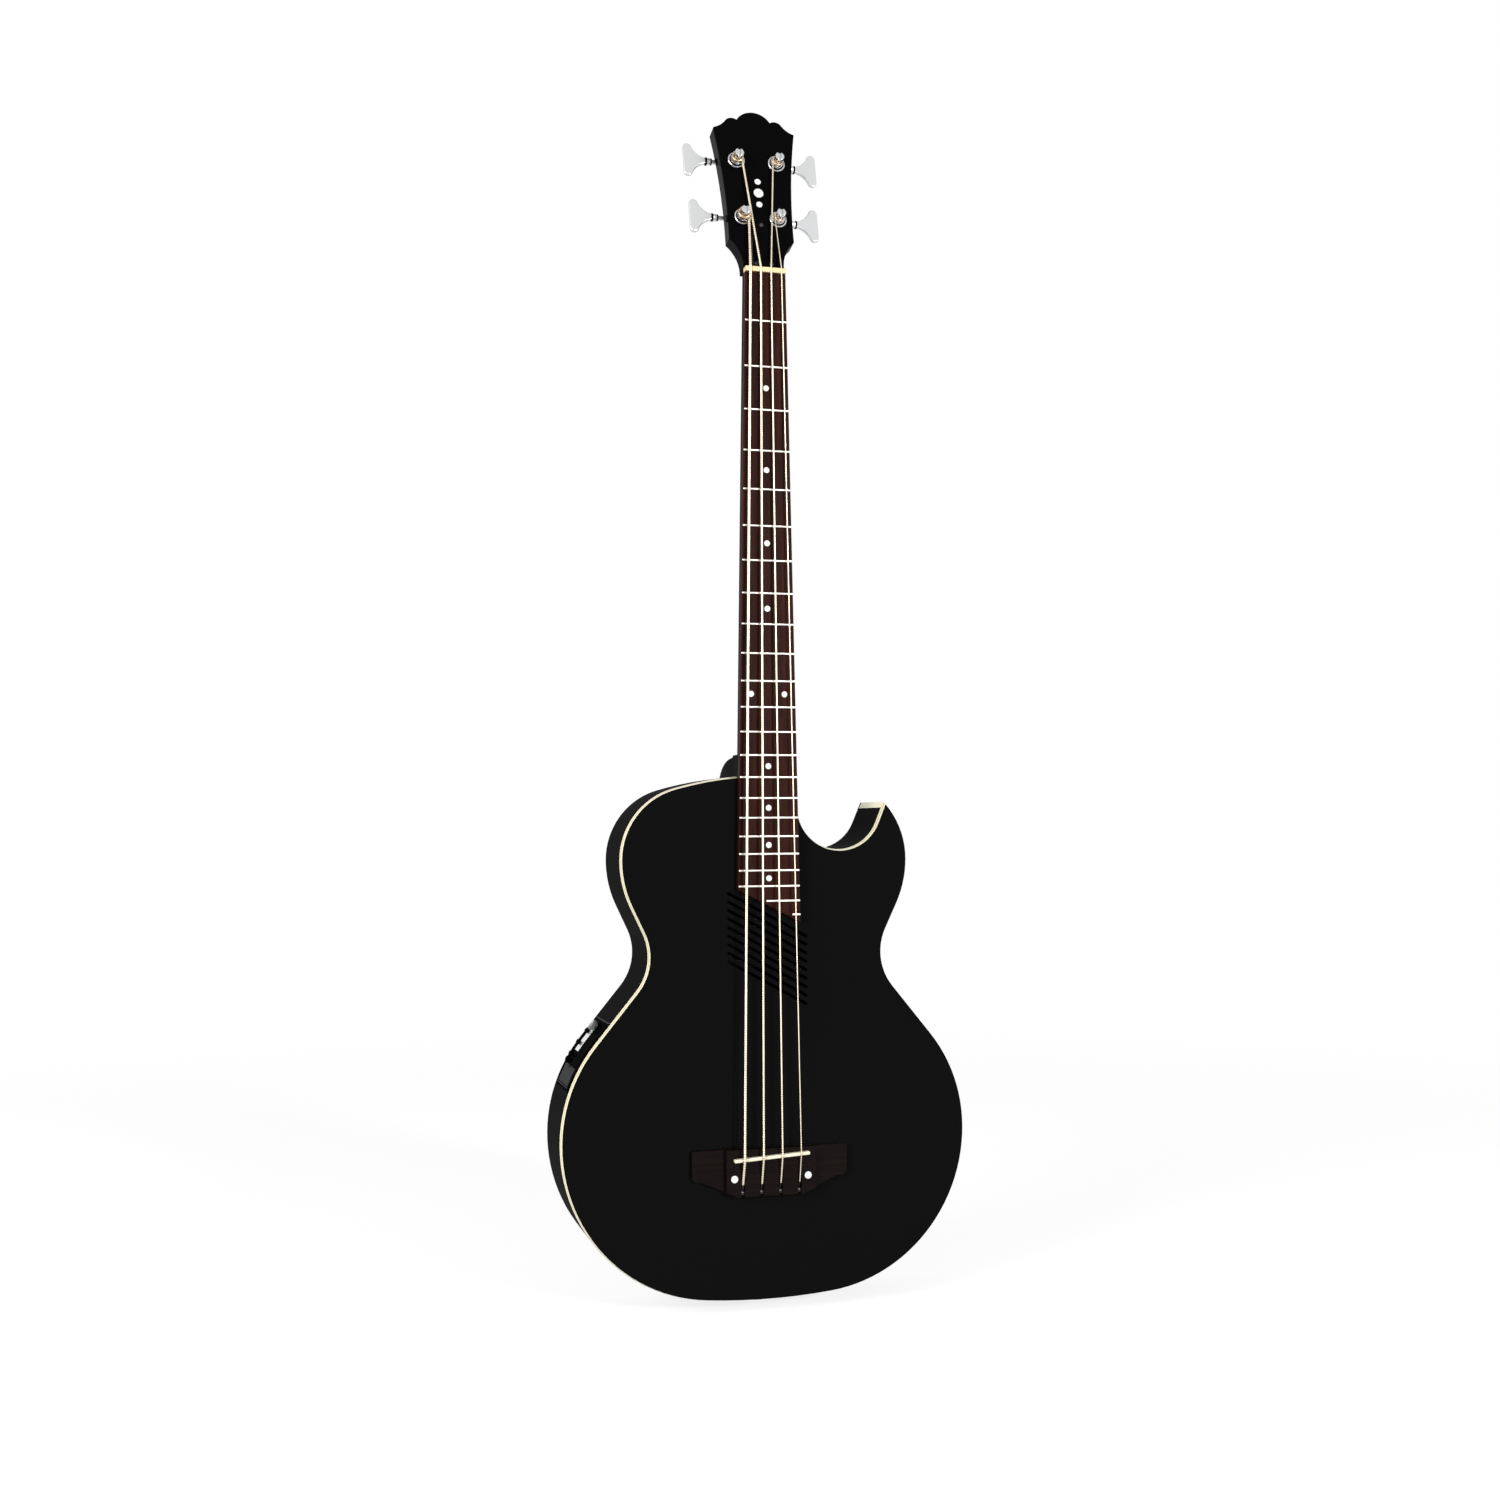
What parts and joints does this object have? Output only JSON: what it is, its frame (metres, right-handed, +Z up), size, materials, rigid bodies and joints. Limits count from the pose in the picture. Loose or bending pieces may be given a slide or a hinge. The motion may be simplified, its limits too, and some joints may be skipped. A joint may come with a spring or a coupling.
{
  "type": "acoustic-electric bass guitar",
  "caption": "Acoustic-electric bass guitar with a cutaway, slanted sound slots, a bound black body, worm-geared tuners and a side preamp with working controls.",
  "frame": {"origin": "on the centre line at the tail's outer face, in the middle of the body's depth, where the end jack enters", "axes": "+Z up along the neck towards the headstock, -Y towards the front with the soundboard and strings, +X towards the treble side"},
  "size_m": [0.408, 0.1123, 1.1979],
  "materials": {
    "black_top": "high-gloss black lacquer",
    "black_side": "gloss black lacquer",
    "black_neck": "gloss black lacquer",
    "inner_wood": "bare, planed",
    "dark_wood": "oiled dark open-pored wood",
    "binding": "gloss cream",
    "fret_metal": "polished nickel silver",
    "bright_metal": "satin chrome",
    "steel": "plain steel",
    "string_wire": "wound bronze",
    "pearl": "pearloid",
    "bone": "polished bone",
    "black_plastic": "satin black",
    "control_cap": "gloss black",
    "label_metal": "satin silver",
    "battery_case": "satin grey",
    "lead_cover": "matt black",
    "cover_plate": "gloss black"
  },
  "bodies": {
    "instrument": {"soundboard": "black_top", "back": "black_side", "bass_side": "black_side", "treble_side": "black_side", "body_binding": "binding", "neck_block": "inner_wood", "tail_block": "inner_wood", "linings": "inner_wood", "top_braces": "inner_wood", "back_braces": "inner_wood", "bridge_plate": "inner_wood", "bridge": "dark_wood", "saddle": "bone", "piezo_strip": "lead_cover", "bridge_dots": "pearl", "bridge_bolts": "steel", "neck": "black_neck", "headstock_face": "black_top", "headstock_inlay": "pearl", "fingerboard": "dark_wood", "frets": "fret_metal", "nut": "bone", "position_dots": "pearl", "truss_rod": "steel", "truss_cover": "cover_plate", "truss_cover_screws": "steel", "strap_button": "bright_metal", "end_jack": "bright_metal", "end_jack_nut": "steel", "preamp_frame": "black_plastic", "preamp_box": "black_plastic", "preamp_label": "label_metal", "battery": "battery_case", "pickup_lead": "lead_cover", "jack_lead": "lead_cover", "string_e": "string_wire", "string_a": "string_wire", "string_d": "string_wire", "string_g": "string_wire", "string_windings": "string_wire", "ball_ends": "string_wire", "tuner_plates": "bright_metal", "tuner_screws": "bright_metal", "tuner_bushings": "bright_metal"},
    "tuning_key_e": {"key_e": "bright_metal"},
    "tuning_post_e": {"post_e": "bright_metal"},
    "tuning_key_a": {"key_a": "bright_metal"},
    "tuning_post_a": {"post_a": "bright_metal"},
    "tuning_key_d": {"key_d": "bright_metal"},
    "tuning_post_d": {"post_d": "bright_metal"},
    "tuning_key_g": {"key_g": "bright_metal"},
    "tuning_post_g": {"post_g": "bright_metal"},
    "truss_adjuster": {"truss_nut": "steel"},
    "volume_control": {"volume_knob": "control_cap"},
    "bass_control": {"bass_slider": "control_cap"},
    "middle_control": {"middle_slider": "control_cap"},
    "treble_control": {"treble_slider": "control_cap"},
    "phase_switch": {"phase_button": "control_cap"},
    "battery_lid": {"battery_door": "black_plastic"}
  },
  "joints": [
    {"name": "key_e_turn", "type": "hinge", "parent": "instrument", "child": "tuning_key_e", "pos_m": [-0.0239, -0.0132, 1.07412], "axis": [1, 0, 0], "continuous": true},
    {"name": "post_e_turn", "type": "hinge", "parent": "instrument", "child": "tuning_post_e", "pos_m": [-0.0183, -0.02364, 1.06534], "axis": [0, 0.9744, -0.225], "continuous": true},
    {"name": "key_a_turn", "type": "hinge", "parent": "instrument", "child": "tuning_key_a", "pos_m": [-0.0266, 0.00129, 1.13687], "axis": [1, 0, 0], "continuous": true},
    {"name": "post_a_turn", "type": "hinge", "parent": "instrument", "child": "tuning_post_a", "pos_m": [-0.021, -0.00915, 1.12809], "axis": [0, 0.9744, -0.225], "continuous": true},
    {"name": "key_d_turn", "type": "hinge", "parent": "instrument", "child": "tuning_key_d", "pos_m": [0.0266, 0.00129, 1.13687], "axis": [1, 0, 0], "continuous": true},
    {"name": "post_d_turn", "type": "hinge", "parent": "instrument", "child": "tuning_post_d", "pos_m": [0.021, -0.00915, 1.12809], "axis": [0, 0.9744, -0.225], "continuous": true},
    {"name": "key_g_turn", "type": "hinge", "parent": "instrument", "child": "tuning_key_g", "pos_m": [0.0239, -0.0132, 1.07412], "axis": [1, 0, 0], "continuous": true},
    {"name": "post_g_turn", "type": "hinge", "parent": "instrument", "child": "tuning_post_g", "pos_m": [0.0183, -0.02364, 1.06534], "axis": [0, 0.9744, -0.225], "continuous": true},
    {"name": "truss_nut_turn", "type": "hinge", "parent": "instrument", "child": "truss_adjuster", "pos_m": [0, -0.042, 1.017], "axis": [0, 0, 1], "range_deg": [-180, 180]},
    {"name": "volume_turn", "type": "hinge", "parent": "instrument", "child": "volume_control", "pos_m": [-0.16184, 0.0025, 0.26378], "axis": [-0.7733, 0, 0.6341], "range_deg": [-140, 140]},
    {"name": "bass_slide", "type": "slide", "parent": "instrument", "child": "bass_control", "axis": [0, 1, 0], "range_m": [-0.0035, 0.0035]},
    {"name": "middle_slide", "type": "slide", "parent": "instrument", "child": "middle_control", "axis": [0, 1, 0], "range_m": [-0.0035, 0.0035]},
    {"name": "treble_slide", "type": "slide", "parent": "instrument", "child": "treble_control", "axis": [0, 1, 0], "range_m": [-0.0035, 0.0035]},
    {"name": "phase_press", "type": "slide", "parent": "instrument", "child": "phase_switch", "axis": [0.8692, 0, -0.4945], "range_m": [0, 0.0012], "stiffness_N_per_m": 400},
    {"name": "battery_lid_open", "type": "hinge", "parent": "instrument", "child": "battery_lid", "pos_m": [-0.19473, -0.0075, 0.21282], "axis": [0, -1, 0], "range_deg": [0, 95]}
  ],
  "couplings": [
    {"joint": "post_e_turn", "follows": "key_e_turn", "ratio": 0.0625},
    {"joint": "post_a_turn", "follows": "key_a_turn", "ratio": 0.0625},
    {"joint": "post_d_turn", "follows": "key_d_turn", "ratio": 0.0625},
    {"joint": "post_g_turn", "follows": "key_g_turn", "ratio": 0.0625}
  ]
}
